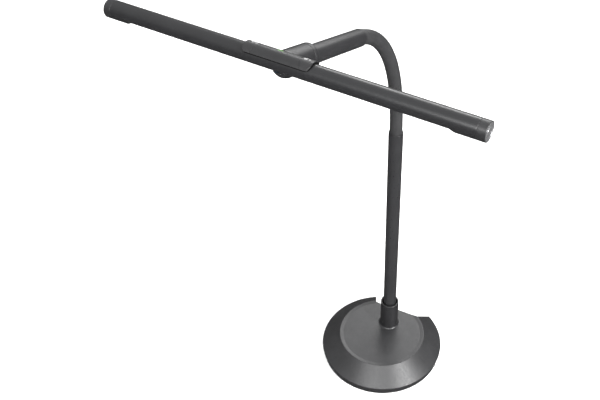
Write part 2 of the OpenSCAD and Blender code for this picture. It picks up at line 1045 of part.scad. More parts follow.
// Puts a right-hand end piece on the right (+1) or the left (-1) end of the tube
module at_bar_end(side) {
    bar_frame()
        mirror([side < 0 ? 1 : 0, 0, 0])
            translate([tube_len / 2, 0, 0])
                rotate([0, 90, 0])
                    children();
}

// ---- control panel ----

module control_board() {
    color("#2f5d3a")
        bar_frame()
            translate([-control_board_l / 2, rail_top, -board_w / 2])
                cube([control_board_l, board_t, board_w]);
}

module switches() {
    color("#3b3b3d")
        bar_frame()
            for (sx = [-1, 1])
                translate([sx * key_x, rail_top + board_t, 0]) {
                    translate([-switch_w / 2, 0, -switch_w / 2])
                        cube([switch_w, switch_h, switch_w]);
                    rotate([-90, 0, 0])
                        cylinder(d = plunger_d, h = switch_h + plunger_h);
                }
}

module panel_plan(inset) {
    w = 2 * panel_r * sin(panel_wrap);
    rounded_rectangle(panel_l - 2 * inset, w - 2 * inset, panel_corner - inset / 2);
}

// Half length of the middle plate, this far forward of the bar's axis
function seam_at(forward) = (seam_front + seam_back) / 2 + seam_slope * forward;

// Middle plate's outline from above, between its two slanted sides
module middle_plan() {
    reach = panel_r + cut;
    polygon([
        [-seam_at(reach), reach],
        [seam_at(reach), reach],
        [seam_at(-reach), -reach],
        [-seam_at(-reach), -reach]
    ]);
}

// What lies past that outline's left side, with air between
module left_plan() {
    reach = panel_r + cut;
    gap = air * sqrt(1 + pow(seam_slope, 2));
    polygon([
        [-seam_at(reach) - gap, reach],
        [-seam_at(-reach) - gap, -reach],
        [-panel_l, -reach],
        [-panel_l, reach]
    ]);
}

module lens_plan(margin) {
    translate([-lens_x, 0])
        slot_outline(lens_l + 2 * margin, lens_w + 2 * margin);
}

module panel_frame() {
    color("#141415")
        bar_frame()
            difference() {
                intersection() {
                    along_bar(panel_l) arc_band(frame_skin_r, frame_r, -frame_wrap, frame_wrap);
                    through_panel() panel_plan(frame_inset);
                }
                for (sx = [-1, 1])
                    translate([sx * key_x, 0, 0])
                        rotate([-90, 0, 0])
                            cylinder(d = stem_d + 2 * air, h = 2 * panel_r);
            }
}

module centre_plate() {
    color("#29292b")
        bar_frame()
            difference() {
                intersection() {
                    along_bar(panel_l) arc_band(panel_r, panel_r - panel_t, -panel_wrap, panel_wrap);
                    through_panel()
                        intersection() {
                            panel_plan(0);
                            middle_plan();
                        }
                }
                through_panel() lens_plan(fit);
            }
}

module indicator_lens() {
    color("#5fb04c")
        bar_frame()
            intersection() {
                along_bar(panel_l)
                    arc_band(panel_r + lens_proud, panel_r - panel_t, -panel_wrap, panel_wrap);
                through_panel() lens_plan(0);
            }
}

// Left key with its stem, on the bar's own axes
module left_key() {
    intersection() {
        along_bar(panel_l) arc_band(panel_r, panel_r - key_t, -panel_wrap, panel_wrap);
        through_panel()
            intersection() {
                panel_plan(0);
                left_plan();
            }
    }
    translate([-key_x, stem_foot, 0])
        rotate([-90, 0, 0])
            cylinder(d = stem_d, h = panel_r - key_t / 2 - stem_foot);
}

module key_left() {
    color("#2c2c2e")
        bar_frame()
            left_key();
}

module key_right() {
    color("#2c2c2e")
        bar_frame()
            mirror([1, 0, 0])
                left_key();
}

// ---- the lamp ----

base_shell();
ballast();
base_plate();
base_screws();
foot_pad();
collar();
pole();
pole_plug();
pole_nipple();
nipple_nut();
nipple_washer();
power_inlet();
inlet_nut();
supply_lead();
neck_socket();
neck_ball(1);  // neck_ball_1
neck_ball(2);  // neck_ball_2
neck_ball(3);  // neck_ball_3
neck_ball(4);  // neck_ball_4
neck_ball(5);  // neck_ball_5
neck_ball(6);  // neck_ball_6
neck_ball(7);  // neck_ball_7
neck_ball(8);  // neck_ball_8
neck_link(1);  // neck_link_1
neck_link(2);  // neck_link_2
neck_link(3);  // neck_link_3
neck_link(4);  // neck_link_4
neck_link(5);  // neck_link_5
neck_link(6);  // neck_link_6
neck_link(7);  // neck_link_7
neck_plug();
arm_sleeve();
sleeve_plug();
pivot_tube();
pivot_nut();
pivot_washer();
friction_washer();
arm_lead();
hub_body();
hub_ring();
hub_bush_front();
hub_bush_rear();
hub_screws();
bar_tube();
led_board();
leds();
diffuser();
color("#242426") at_bar_end(-1) end_cap();  // end_cap_left
color("#242426") at_bar_end(1) end_cap();  // end_cap_right
color("#a6a8aa") at_bar_end(-1) end_disc();  // end_disc_left
color("#a6a8aa") at_bar_end(1) end_disc();  // end_disc_right
control_board();
switches();
panel_frame();
centre_plate();
indicator_lens();
key_left();
key_right();
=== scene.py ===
"""Piano lamp: the look of every piece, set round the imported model.

Lengths in the shape functions are millimetres; lay() turns them into metres.
+Z is up, the light bar runs along X, and the lamp leans out over -Y.
"""

import json

import bmesh
import bpy
import numpy as np
from mathutils import Matrix


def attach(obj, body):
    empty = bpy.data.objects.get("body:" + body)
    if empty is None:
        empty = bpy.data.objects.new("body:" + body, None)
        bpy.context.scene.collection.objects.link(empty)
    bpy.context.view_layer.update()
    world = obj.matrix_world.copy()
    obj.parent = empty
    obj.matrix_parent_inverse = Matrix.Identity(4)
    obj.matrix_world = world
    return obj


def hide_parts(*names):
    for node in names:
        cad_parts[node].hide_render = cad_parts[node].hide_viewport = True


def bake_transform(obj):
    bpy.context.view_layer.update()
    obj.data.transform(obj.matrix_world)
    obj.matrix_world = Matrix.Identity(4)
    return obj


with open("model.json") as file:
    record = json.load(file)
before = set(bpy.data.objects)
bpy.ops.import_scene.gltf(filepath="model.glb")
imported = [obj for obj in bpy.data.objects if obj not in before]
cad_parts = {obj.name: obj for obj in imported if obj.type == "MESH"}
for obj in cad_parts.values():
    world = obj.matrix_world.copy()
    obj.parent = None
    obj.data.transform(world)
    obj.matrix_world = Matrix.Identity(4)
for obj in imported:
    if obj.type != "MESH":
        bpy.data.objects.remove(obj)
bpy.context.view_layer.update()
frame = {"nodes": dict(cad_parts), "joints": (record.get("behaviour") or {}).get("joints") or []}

MM = 0.001
TAU = 2 * np.pi

# ---- camera: where the photograph was taken from ----

CAMERA_AT = (0.42085, -0.79505, 1.1301)
CAMERA_RIGHT = (0.856047, 0.516742, -0.012705)
CAMERA_DOWN = (0.337149, -0.576823, -0.744047)
CAMERA_AHEAD = (-0.391809, 0.632656, -0.668007)


def add_camera():
    """Camera whose axes are the three directions above, with the photograph's off-centre frame."""
    data = bpy.data.cameras.new("photo_camera")
    data.sensor_width = 36
    data.lens = 49.79
    data.shift_x = -0.0724
    data.shift_y = 0.0098
    data.clip_end = 50
    camera = bpy.data.objects.new("photo_camera", data)
    columns = np.array([CAMERA_RIGHT, np.negative(CAMERA_DOWN), np.negative(CAMERA_AHEAD)]).T
    camera.matrix_world = Matrix.Translation(CAMERA_AT) @ Matrix(columns.tolist()).to_4x4()
    bpy.context.scene.collection.objects.link(camera)
    bpy.context.scene.camera = camera


add_camera()

# ---- where the pieces stand, from the model's own joints ----

JOINTS = {j["name"]: j for j in frame["joints"]}
BALLS = np.array([JOINTS[f"neck_bend_{k}"]["pos_m"] for k in range(1, 9)]) / MM
ARM_FOOT = np.array(JOINTS["bar_twist"]["pos_m"]) / MM
ARM_OUT = np.array(JOINTS["bar_twist"]["axis"], float)
SIDE = np.array([1.0, 0, 0])
ARM_UP = np.cross(ARM_OUT, SIDE)
HUB_RISE = 3.0
POLE_Y = BALLS[0, 1]

ROW = (np.zeros(3), SIDE, np.array([0, 1.0, 0]), np.array([0, 0, 1.0]))
POLE = (np.array([0, POLE_Y, 0]), *ROW[1:])
# +Z runs back along the arm to the neck
ARM = (ARM_FOOT, SIDE, ARM_UP, -ARM_OUT)
# +X along the bar, +Y out of its top, +Z back to the neck
BAR = (ARM_FOOT + HUB_RISE * ARM_UP, SIDE, ARM_UP, -ARM_OUT)


def placed(points, at):
    """Points (x, y, z) of a frame at = (origin, ex, ey, ez), in row millimetres."""
    origin, ex, ey, ez = at
    return origin + points[..., :1] * ex + points[..., 1:2] * ey + points[..., 2:3] * ez


# ---- from arrays to pieces ----


def quads(rows, cols, loop_rows=False, loop_cols=False, first=0):
    """Corner numbers of the faces between neighbours of a rows x cols grid of points."""
    r = np.arange(rows if loop_rows else rows - 1)
    c = np.arange(cols if loop_cols else cols - 1)
    r, c = np.meshgrid(r, c, indexing="ij")
    r2, c2 = (r + 1) % rows, (c + 1) % cols
    return first + np.stack([r * cols + c, r * cols + c2, r2 * cols + c2, r2 * cols + c], -1).reshape(-1, 4)


def lay(name, points, faces, at, body=None, made_of=None, slot=None, stands_for=(), crease=35):
    """Makes one piece: merges points that meet, turns its faces outwards and creases sharp edges."""
    mesh = bpy.data.meshes.new(name)
    mesh.from_pydata((placed(points.reshape(-1, 3), at) * MM).tolist(), [], faces.tolist())
    work = bmesh.new()
    work.from_mesh(mesh)
    bmesh.ops.remove_doubles(work, verts=work.verts, dist=2e-6)
    bmesh.ops.dissolve_degenerate(work, edges=work.edges, dist=1e-7)
    bmesh.ops.recalc_face_normals(work, faces=work.faces)
    work.to_mesh(mesh)
    work.free()
    mesh.polygons.foreach_set("use_smooth", np.ones(len(mesh.polygons), bool))
    mesh.set_sharp_from_angle(angle=np.radians(crease))
    piece = bpy.data.objects.new(name, mesh)
    bpy.context.scene.collection.objects.link(piece)
    if made_of:
        mesh.materials.append(made_of)
    if body:
        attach(piece, body)
    if stands_for:
        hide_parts(*stands_for)
    return piece


def rounded(corners, arc=6, hold=0.25):
    """Closed outline through corners (x, y, radius), each turned by an arc of that radius.

    The arc touches both sides at radius * tan(turn / 2) from the corner, and a point at
    hold times that length further out keeps the flats flat in the shading.
    """
    pts = np.array([c[:2] for c in corners], float)
    radii = np.array([c[2] for c in corners], float)
    out = []
    for p, before, after, r in zip(pts, np.roll(pts, 1, 0), np.roll(pts, -1, 0), radii):
        if r <= 0:
            out.append(p)
            continue
        a, b = (before - p), (after - p)
        la, lb = np.linalg.norm(a), np.linalg.norm(b)
        a, b = a / la, b / lb
        half = np.arccos(np.clip(a @ b, -1, 1)) / 2
        reach = min(r / np.tan(half), 0.49 * la, 0.49 * lb)
        middle = p + (a + b) / np.linalg.norm(a + b) * reach / np.cos(half)
        start, end = p + a * reach - middle, p + b * reach - middle
        turn = np.arctan2(start[0] * end[1] - start[1] * end[0], start @ end)
        t = np.linspace(0, turn, arc + 1)[:, None]
        normal = np.array([-start[1], start[0]])
        out.append(p + a * min(reach * (1 + hold), 0.5 * la))
        out.extend(middle + start * np.cos(t) + normal * np.sin(t))
        out.append(p + b * min(reach * (1 + hold), 0.5 * lb))
    return np.array(out)


def shell(top, under):
    """Closed skin between two grids of points with the same rows and columns, joined round their edges."""
    rows, cols = top.shape[:2]
    number = np.arange(rows * cols).reshape(rows, cols)
    edge = np.concatenate([number[0, :-1], number[:-1, -1], number[-1, :0:-1], number[:0:-1, 0]])
    after = np.roll(edge, -1)
    rim = np.stack([edge, after, after + rows * cols, edge + rows * cols], -1)
    faces = [quads(rows, cols), quads(rows, cols, first=rows * cols), rim]
    return np.concatenate([top.reshape(-1, 3), under.reshape(-1, 3)]), np.concatenate(faces)


def lathe(outline, steps=128):
    """Outline (radius, height) turned round +Z: x = r cos a, y = r sin a, z = height."""
    a = np.arange(steps) / steps * TAU
    r, z = outline[:, 0][None], outline[:, 1][None]
    points = np.stack([r * np.cos(a)[:, None], r * np.sin(a)[:, None], z + 0 * a[:, None]], -1)
    return points, quads(steps, len(outline), loop_rows=True, loop_cols=True)


# ---- finishes ----


# the noise's own values lie mostly between these two
NOISE_LOW, NOISE_HIGH = 0.3, 0.7


def coat(name, colour, roughness, grain_mm=0.4, relief_mm=0.01, mottle=0.12, mottle_mm=14,
         rough_spread=0.06, **sockets):
    """Material whose colour, roughness and relief come from noise in the piece's own metres.

    colour * (1 +- mottle) follows a slow noise of size mottle_mm, roughness +- rough_spread a
    finer one, and the relief a noise of size grain_mm and height relief_mm.
    """
    made = bpy.data.materials.new(name)
    made.use_nodes = True
    nodes, links = made.node_tree.nodes, made.node_tree.links
    shader = nodes["Principled BSDF"]
    where = nodes.new("ShaderNodeTexCoord")

    def noise(size_mm, detail):
        n = nodes.new("ShaderNodeTexNoise")
        n.inputs["Scale"].default_value = 1 / (size_mm * MM)
        n.inputs["Detail"].default_value = detail
        links.new(where.outputs["Object"], n.inputs["Vector"])
        return n.outputs["Fac"]

    ramp = nodes.new("ShaderNodeValToRGB")
    stops = zip(ramp.color_ramp.elements, (1 - mottle, 1 + mottle), (NOISE_LOW, NOISE_HIGH))
    for stop, share, position in stops:
        stop.position = position
        stop.color = (*[min(1, c * share) for c in colour], 1)
    links.new(noise(mottle_mm, 3), ramp.inputs["Fac"])
    links.new(ramp.outputs["Color"], shader.inputs["Base Color"])

    spread = nodes.new("ShaderNodeMapRange")
    spread.inputs["From Min"].default_value = NOISE_LOW
    spread.inputs["From Max"].default_value = NOISE_HIGH
    spread.inputs["To Min"].default_value = max(0.02, roughness - rough_spread)
    spread.inputs["To Max"].default_value = min(1, roughness + rough_spread)
    links.new(noise(grain_mm * 6, 4), spread.inputs["Value"])
    links.new(spread.outputs["Result"], shader.inputs["Roughness"])

    bump = nodes.new("ShaderNodeBump")
    bump.inputs["Distance"].default_value = relief_mm * MM
    links.new(noise(grain_mm, 2), bump.inputs["Height"])
    links.new(bump.outputs["Normal"], shader.inputs["Normal"])
    for socket, value in sockets.items():
        shader.inputs[socket.replace("_", " ")].default_value = value
    return made


BASE_COAT = coat("base_powder_coat", (0.016, 0.016, 0.017), 0.42, 0.5, 0.02, 0.14, 22)
POLE_COAT = coat("pole_satin_coat", (0.016, 0.016, 0.017), 0.33, 0.35, 0.006, 0.08, 30)
TUBE_COAT = coat("bar_satin_coat", (0.012, 0.012, 0.013), 0.34, 0.35, 0.006, 0.08, 30)
SLEEVE_COAT = coat("sleeve_satin_coat", (0.014, 0.014, 0.015), 0.36, 0.35, 0.006, 0.08, 30)
NECK_RUBBER = coat("neck_rubber", (0.02, 0.02, 0.021), 0.52, 0.3, 0.012, 0.12, 12)
COLLAR_PLASTIC = coat("collar_plastic", (0.012, 0.012, 0.013), 0.38, 0.45, 0.012, 0.1, 18)
HUB_PLASTIC = coat("hub_plastic", (0.013, 0.013, 0.014), 0.4, 0.45, 0.012, 0.1, 18)
CAP_PLASTIC = coat("cap_plastic", (0.014, 0.014, 0.015), 0.42, 0.45, 0.012, 0.1, 12)
PANEL_PLASTIC = coat("panel_plastic", (0.013, 0.013, 0.014), 0.4, 0.45, 0.01, 0.1, 12)
KEY_PLASTIC = coat("key_plastic", (0.014, 0.014, 0.015), 0.42, 0.45, 0.01, 0.1, 12)
# near-black matte finish that paints the shadow gap under the panel's edge
SHADOW_GAP_PAINT = coat("painted_shadow_gap", (0.003, 0.003, 0.003), 0.8, 0.3, 0.01, 0.1, 6, Specular_IOR_Level=0.1)
# near black, for flat dots that paint the shade inside a dimple
DIMPLE_SHADE_PAINT = coat("painted_dimple_shade", (0.003, 0.003, 0.003), 0.5, 0.2, 0.004, 0.1, 3, Specular_IOR_Level=0.2)
MARK_INK = coat("mark_ink", (0.62, 0.62, 0.62), 0.6, 0.2, 0.004, 0.06, 3)
TURNED_METAL = coat("turned_aluminium", (0.42, 0.42, 0.43), 0.3, 0.15, 0.006, 0.08, 2, Metallic=0.9)
OPAL = coat("opal_acrylic", (0.82, 0.82, 0.8), 0.5, 0.6, 0.004, 0.03, 20, Subsurface_Weight=0.2)

# finishes of the pieces that keep the model's own shape
NODE_COATS = {
    coat("cast_iron", (0.07, 0.065, 0.06), 0.6, 0.8, 0.08, 0.25, 9, 0.1): ["ballast"],
    coat("zinc_plate", (0.35, 0.35, 0.36), 0.38, 0.6, 0.01, 0.14, 16, 0.1, Metallic=0.9):
        ["base_plate", "nipple_washer", "pivot_washer"],
    coat("zinc_steel", (0.45, 0.45, 0.46), 0.3, 0.3, 0.008, 0.1, 5, Metallic=1.0):
        ["base_screws", "nipple_nut", "inlet_nut", "pivot_nut", "pivot_tube", "hub_screws"],
    coat("pad_foam_rubber", (0.018, 0.018, 0.018), 0.85, 0.7, 0.1, 0.2, 6): ["foot_pad"],
    coat("plug_aluminium", (0.4, 0.4, 0.41), 0.35, 0.3, 0.008, 0.1, 6, Metallic=0.9):
        ["pole_plug", "sleeve_plug"],
    coat("nipple_brass", (0.5, 0.38, 0.16), 0.34, 0.3, 0.008, 0.14, 5, Metallic=1.0): ["pole_nipple"],
    coat("inlet_plastic", (0.012, 0.012, 0.012), 0.35, 0.3, 0.008, 0.1, 5): ["power_inlet"],
    coat("lead_pvc", (0.014, 0.014, 0.014), 0.5, 0.5, 0.02, 0.12, 8): ["supply_lead", "arm_lead"],
    coat("ball_steel", (0.4, 0.4, 0.41), 0.25, 0.4, 0.006, 0.1, 7, Metallic=1.0):
        [f"neck_ball_{k}" for k in range(1, 9)],
    coat("link_rubber", (0.02, 0.02, 0.02), 0.6, 0.3, 0.012, 0.12, 12): ["neck_socket", "neck_plug"],
    coat("bush_nylon", (0.55, 0.53, 0.46), 0.45, 0.4, 0.01, 0.08, 8):
        ["friction_washer", "hub_bush_front", "hub_bush_rear"],
    coat("board_white_mask", (0.75, 0.75, 0.72), 0.4, 0.5, 0.008, 0.04, 9): ["led_board"],
    coat("led_phosphor", (0.85, 0.68, 0.2), 0.45, 0.3, 0.02, 0.1, 1.2): ["leds"],
    coat("board_green_mask", (0.03, 0.14, 0.06), 0.35, 0.5, 0.01, 0.14, 6): ["control_board"],
    coat("switch_plastic", (0.03, 0.03, 0.03), 0.45, 0.3, 0.01, 0.1, 3): ["switches"],
    coat("frame_plastic", (0.008, 0.008, 0.008), 0.6, 0.4, 0.012, 0.1, 10): ["panel_frame"],
    coat("lens_green", (0.1, 0.2, 0.07), 0.25, 0.4, 0.004, 0.1, 3, Coat_Weight=0.4): ["indicator_lens"],
}

# ---- base ----

BASE_R, RIM_LEAN, RIM_H, LIP_R, BASE_H, DISH = 100, 2.5, 15, 70.5, 38.3, 0.6
SHELL_FOOT, SHELL_WALL, SHELL_TOP = 1.2, 4.0, 5.0
DISC_Z = BASE_H - DISH
NOTCH_W, NOTCH_Y, NOTCH_FLARE, BASE_TURN = 78, 57.5, np.radians(23), np.radians(4.8)
# how far the notch's top and bottom edges are broken
BREAK = 0.35
# the notch's left and right inner corners, from the base's middle
NOTCH_CORNERS = [68.23, 70.62]


def notch_edges(r, margin):
    """Angles from +X where the circle of radius r meets the notch's right and left edges.

    Each edge of the notch is a line n . p = offset, and the circle meets it where
    cos(angle - angle of n) = offset / r. The three lines are turned with the base about the pole.
    """
    half = NOTCH_W / 2 + margin / np.cos(NOTCH_FLARE) - margin * np.tan(NOTCH_FLARE)
    corner = np.array([half, NOTCH_Y - margin - POLE_Y])
    meets = []
    for way, point in ((np.pi / 2, corner), (-NOTCH_FLARE, corner), (np.pi + NOTCH_FLARE, corner * [-1, 1])):
        n = np.array([np.cos(way + BASE_TURN), np.sin(way + BASE_TURN)])
        before = np.array([np.cos(way), np.sin(way)])
        offset = before @ point + n[1] * POLE_Y
        meets.append((way + BASE_TURN, np.arccos(np.clip(offset / np.maximum(r, 1e-6), -1, 1))))
    (wall, wall_half), (right, right_half), (left, left_half) = meets
    return (np.maximum(wall - wall_half, np.minimum(right + right_half, wall)),
            np.minimum(wall + wall_half, np.maximum(left - left_half, wall)))


def round_base(r, z, margin, turns=241):
    """Rows of points at radius r and height z, from the notch's right edge round the front to its left."""
    right, left = notch_edges(r, margin)
    a = right[:, None] - (TAU - (left - right))[:, None] * np.linspace(0, 1, turns)
    return np.stack([r[:, None] * np.cos(a), r[:, None] * np.sin(a), z[:, None] + 0 * a], -1)


def base_casting():
    """Shell of the base: its skin and its hollow are turned outlines, open where the notch is.

    The skin's height over a radius is top(r) above and under(r) below. The notch's wall hangs
    between them, and the wall of the hollow stands SHELL_WALL inside it.
    """
    outline = rounded([
        (0, DISC_Z, 0), (LIP_R - 6, DISC_Z, 4), (LIP_R - 1, BASE_H, 0.5), (LIP_R, BASE_H, 1.1),
        (BASE_R - 0.7, RIM_H + 0.7, 0.8), (BASE_R, RIM_H - 0.1, 0.4), (BASE_R - RIM_LEAN, SHELL_FOOT, 0.6),
        (BASE_R - RIM_LEAN - SHELL_WALL, SHELL_FOOT, 0),
    ])
    widest = np.argmax(outline[:, 0])
    up, down = outline[: widest + 1], outline[widest:][::-1]
    near = NOTCH_Y - POLE_Y + POLE_Y * np.cos(BASE_TURN) - BREAK
    hollow_r = BASE_R - RIM_LEAN - SHELL_WALL
    past_wall = near + np.array([0, 0.02, 0.1, 0.4, 1, 2, 4, 7])
    r = np.concatenate([up[:, 0], down[:, 0], NOTCH_CORNERS, past_wall])
    r = np.unique(np.round(r[r >= near], 6))
    top = np.interp(r, up[:, 0], up[:, 1])
    under = np.where(r < hollow_r, SHELL_FOOT, np.interp(r, down[:, 0], down[:, 1]))
    inner = r[r <= BASE_R - RIM_LEAN + 1e-6] - SHELL_WALL
    inner[-1] = hollow_r
    ceiling = np.interp(inner, [LIP_R - 4.8, hollow_r], [DISC_Z - SHELL_TOP, RIM_H - 2])
    middle = np.array([0.0, 4, 12, 20, 28, 36, 44, 50])
    rim = r > BASE_R - RIM_LEAN - 1e-6
    skin = np.concatenate([
        round_base(middle, DISC_Z + 0 * middle, BREAK), round_base(r, top, BREAK),
        round_base(r[rim][::-1], under[rim][::-1], BREAK),
        round_base(inner[::-1], SHELL_FOOT + 0 * inner, SHELL_WALL)[:1],
        round_base(inner[::-1], ceiling[::-1], SHELL_WALL),
        round_base(middle[::-1], DISC_Z - SHELL_TOP + 0 * middle, SHELL_WALL),
    ])
    sheets = [skin]
    outer = np.minimum(r + BREAK, r[-1])
    half = (top + under) / 2
    wall = np.stack([
        round_base(r, top, BREAK), round_base(outer, np.maximum(top - BREAK, half), 0),
        round_base(outer, np.minimum(under + BREAK, half), 0), round_base(r, under, BREAK),
    ], 1)
    foot = np.stack([
        round_base(inner + SHELL_WALL, SHELL_FOOT + 0 * inner, BREAK),
        round_base(inner, SHELL_FOOT + 0 * inner, SHELL_WALL), round_base(inner, ceiling, SHELL_WALL),
    ], 1)
    for strip in (wall, foot):
        sheets += [strip[:, :, 0], strip[:, :, -1]]
    faces, first = [], 0
    for sheet in sheets:
        faces.append(quads(*sheet.shape[:2], first=first))
        first += sheet.shape[0] * sheet.shape[1]
    return np.concatenate([s.reshape(-1, 3) for s in sheets]), np.concatenate(faces)


lay("base_casting", *base_casting(), ROW, "stand", BASE_COAT, "base_paint", ["base_shell"], crease=25)

# ---- collar and pole ----

COLLAR_R, COLLAR_H, COLLAR_FLOOR, COLLAR_FLARE = 14.7, 54.4, 5.2, 3.5
MOUTH_DEPTH, MOUTH_GAP = 12, 2.2
POLE_R, POLE_WALL, POLE_TOP, RIM_WALL, RIM_DEPTH = 10.4, 1.2, 440, 0.55, 8
NIPPLE_R = 5.05


def collar_outline():
    """Foot flare (a quarter circle of COLLAR_FLARE), straight wall, rounded lip, wider mouth, bore."""
    z0, r = DISC_Z, COLLAR_R
    t = np.linspace(0, np.pi / 2, 9)
    flare = np.column_stack([r + COLLAR_FLARE * (1 - np.sin(t)), z0 + 0.15 + COLLAR_FLARE * (1 - np.cos(t))])
    top = z0 + COLLAR_H
    lip = rounded([
        (r, z0 + 8, 0), (r, top, 0.9), (POLE_R + MOUTH_GAP, top, 0.45),
        (POLE_R + MOUTH_GAP, top - MOUTH_DEPTH, 0.2), (POLE_R + 0.05, top - MOUTH_DEPTH, 0.2),
        (POLE_R + 0.05, z0 + COLLAR_FLOOR, 0), (NIPPLE_R, z0 + COLLAR_FLOOR, 0), (NIPPLE_R, z0, 0),
    ])
    return np.vstack([[r + COLLAR_FLARE, z0], flare, lip])


lay("pole_collar", *lathe(collar_outline(), 160), POLE, "stand", COLLAR_PLASTIC, "collar_black", ["collar"])


def pole_outline():
    """Plain tube with a rounded top rim and a thinner wall inside its mouth."""
    foot, inside = DISC_Z + COLLAR_FLOOR, POLE_R - POLE_WALL
    return rounded([
        (POLE_R, foot, 0.2), (POLE_R, POLE_TOP, 0.3), (POLE_R - RIM_WALL, POLE_TOP, 0.15),
        (POLE_R - RIM_WALL, POLE_TOP - RIM_DEPTH, 0.2), (inside, POLE_TOP - RIM_DEPTH, 0.2),
        (inside, foot, 0.2),
    ])


lay("pole_tube", *lathe(pole_outline(), 160), POLE, "stand", POLE_COAT, "pole_paint", ["pole"])

# ---- neck ----

NECK_R, SHEATH_WALL, NECK_START, NECK_END = 9.0, 0.34, 433.0, 15.4


def neck_stations():
    """Ends of the sheath's bends: the neck's foot in the pole, each link's middle, the arm's mouth."""
    middles = (BALLS[:-1] + BALLS[1:]) / 2
    foot = BALLS[0] - [0, 0, (BALLS[1] - BALLS[0])[2] / 2]
    return np.vstack([foot, middles, BALLS[-1] + NECK_END * ARM_OUT])


STATIONS = neck_stations()


def bend_curve(k, t):
    """Bend k, from station k-1 past ball k to station k: the parabola whose corner is the ball.

    Point (1-t)^2 A + 2t(1-t) B + t^2 C and its direction 2(1-t)(B-A) + 2t(C-B).
    """
    a, b, c = STATIONS[k - 1], BALLS[k - 1], STATIONS[k]
    t = t[:, None]
    way = (1 - t) * (b - a) + t * (c - b)
    return (1 - t) ** 2 * a + 2 * t * (1 - t) * b + t**2 * c, way / np.linalg.norm(way, axis=1, keepdims=True)


def sheath(line, way, steps=96):
    """Thick tube along a line in the lamp's middle plane: line + r (cos a SIDE + sin a N), N = way x SIDE."""
    a = np.arange(steps) / steps * TAU
    n = np.cross(way, SIDE)
    ring = np.cos(a)[:, None] * SIDE + np.sin(a)[:, None] * n[:, None]
    outer = line[:, None] + NECK_R * ring
    inner = line[::-1, None] + (NECK_R - SHEATH_WALL) * ring[::-1]
    points = np.concatenate([outer, inner])
    return points, quads(len(points), steps, loop_rows=True, loop_cols=True)


def add_neck():
    """One piece of sheath a hinge: a whole bend at odd balls, two halves where the neck also sways."""
    for k in range(1, 9):
        sways = k % 2 == 0
        cut = 0.5 if sways else 1.0
        line, way = bend_curve(k, np.linspace(0, cut, 15 if sways else 29))
        if k == 1:
            line = np.vstack([[0, POLE_Y, NECK_START], line])
            way = np.vstack([way[:1], way])
        name = f"neck_sheath_{k}a" if sways else f"neck_sheath_{k}"
        first = lay(name, *sheath(line, way), ROW, None, NECK_RUBBER, "neck_rubber",
                    [] if sways else [f"neck_link_{k}"])
        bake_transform(first)
        if sways:
            line, way = bend_curve(k, np.linspace(0.5, 1, 15))
            second = lay(f"neck_sheath_{k}b", *sheath(line, way), ROW, None, NECK_RUBBER, "neck_rubber",
                         [f"neck_link_{k}"] if k < 8 else [])
            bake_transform(second)


add_neck()

# ---- arm and hub ----

SLEEVE_R, SLEEVE_WALL, SLEEVE_START, SLEEVE_END = 10.6, 1.4, 55.0, 163.0
HUB_R, HUB_L, RING_START, RING_END, RING_ROUND, DOME_BACK = 14.4, 46.0, 46.3, 54.0, 1.6, 11.0


def sleeve_outline():
    """Tube with a rounded open end and a slightly wider mouth for the neck."""
    inside, mouth = SLEEVE_R - SLEEVE_WALL, 9.5
    return rounded([
        (SLEEVE_R, SLEEVE_START, 0.25), (SLEEVE_R, SLEEVE_END, 1.0), (mouth, SLEEVE_END, 0.1),
        (mouth, SLEEVE_END - 6, 0.1), (inside, SLEEVE_END - 6, 0.1), (inside, SLEEVE_START, 0.25),
    ])


def ring_outline():
    """Ring behind the hub: small edge at the seam, big rounding towards the arm."""
    return rounded([
        (HUB_R, RING_START, 0.35), (HUB_R, RING_END, RING_ROUND), (8.7, RING_END, 0.2),
        (8.7, RING_END - 1.2, 0.1), (6.65, RING_END - 1.2, 0.1), (6.65, RING_START, 0.1),
    ], arc=10)


lay("arm_sleeve_tube", *lathe(sleeve_outline(), 144), ARM, "arm", SLEEVE_COAT, "sleeve_black", ["arm_sleeve"])
lay("hub_end_ring", *lathe(ring_outline(), 144), ARM, "light_bar", HUB_PLASTIC, "hub_black", ["hub_ring"])

BAR_R, BAR_WALL, PANEL_R, PANEL_WRAP, PANEL_L = 10.4, 1.4, 13.0, np.radians(68.5), 80.0
AIR, WRAP_AIR = 0.3, np.radians(2)


